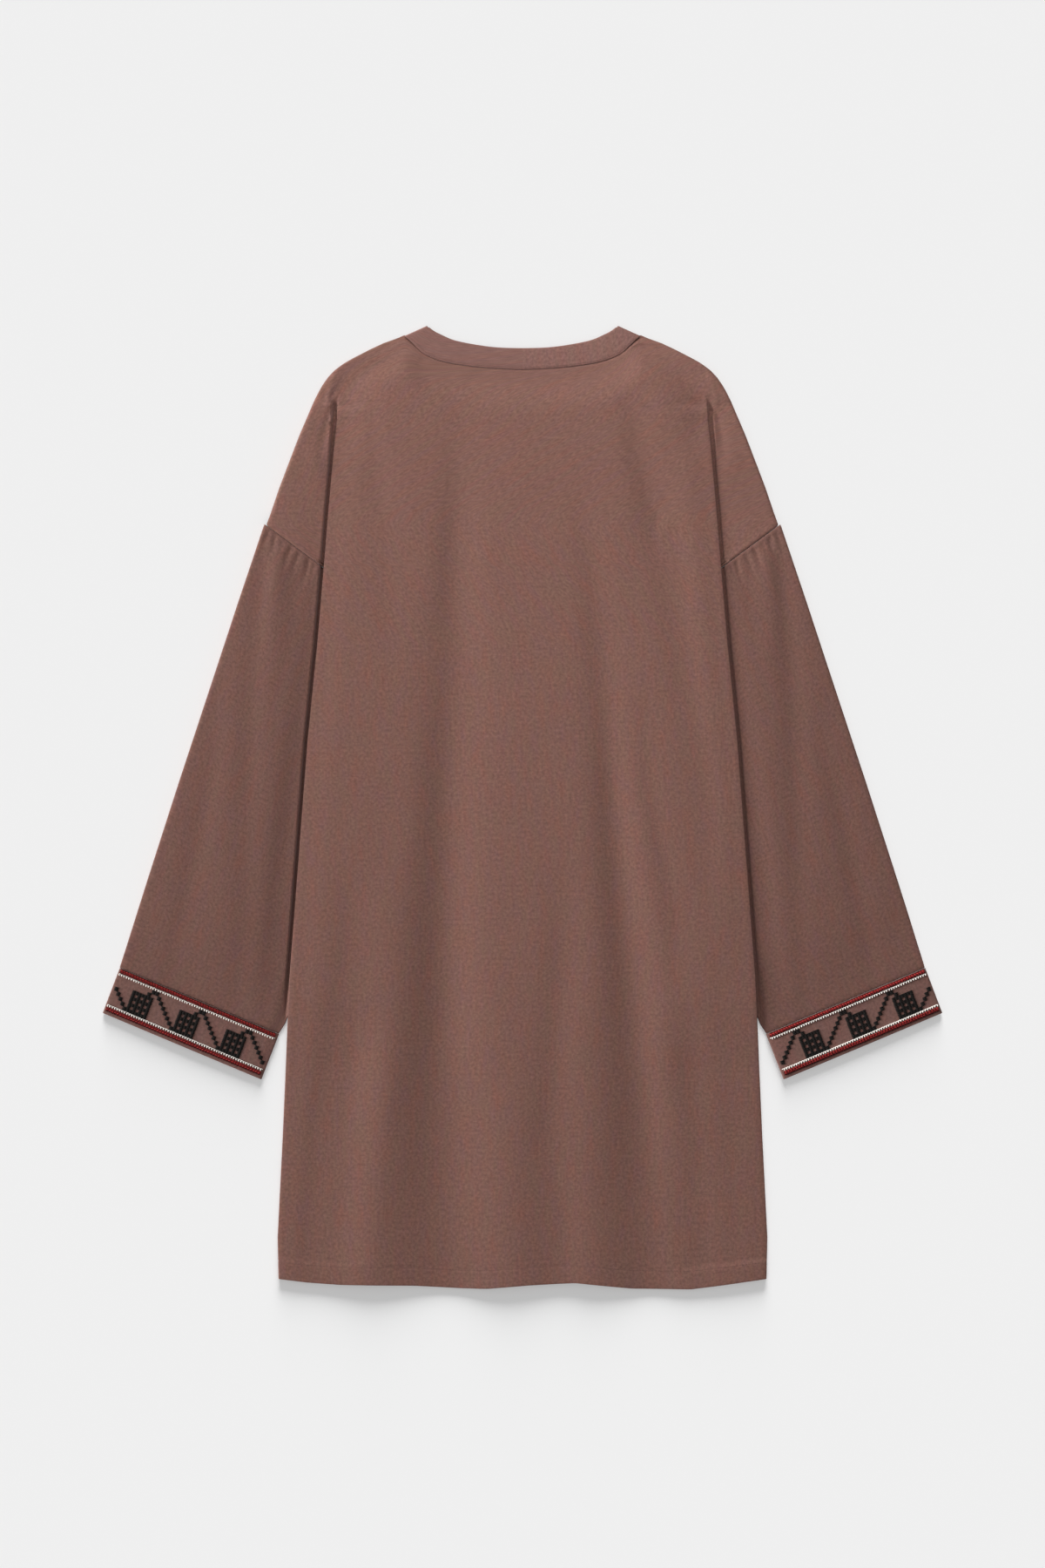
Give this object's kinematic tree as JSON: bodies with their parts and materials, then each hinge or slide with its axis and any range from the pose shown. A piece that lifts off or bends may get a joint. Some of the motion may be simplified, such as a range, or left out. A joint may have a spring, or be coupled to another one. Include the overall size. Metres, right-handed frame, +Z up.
{
  "type": "kurti",
  "caption": "Long-sleeved kurti laid flat with its back up, dropped shoulders, a narrow neckband, pleated sides and ornamented cuffs.",
  "frame": {"origin": "middle of the footprint, on the surface that the kurti lies on", "axes": "+Y from the hem to the neck, +X towards the wearer's right, +Z up, out of the back"},
  "size_m": [0.8292, 0.9508, 0.0103],
  "materials": {
    "brown_cloth": "matt plain weave with a faint slub",
    "band_cloth": "matt plain weave, doubled",
    "cuff_cloth": "matt plain weave with black stitched ornament",
    "red_braid": "matt stitched braid",
    "white_braid": "matt stitched braid"
  },
  "bodies": {
    "root": {"front": "brown_cloth", "back": "brown_cloth", "neckband": "band_cloth", "sleeve_right": "brown_cloth", "sleeve_left": "brown_cloth", "cuff_right": "cuff_cloth", "cuff_left": "cuff_cloth", "trim_red_upper_right": "red_braid", "trim_red_upper_left": "red_braid", "trim_white_upper_right": "white_braid", "trim_white_upper_left": "white_braid", "trim_white_lower_right": "white_braid", "trim_white_lower_left": "white_braid", "trim_red_lower_right": "red_braid", "trim_red_lower_left": "red_braid"}
  },
  "joints": []
}
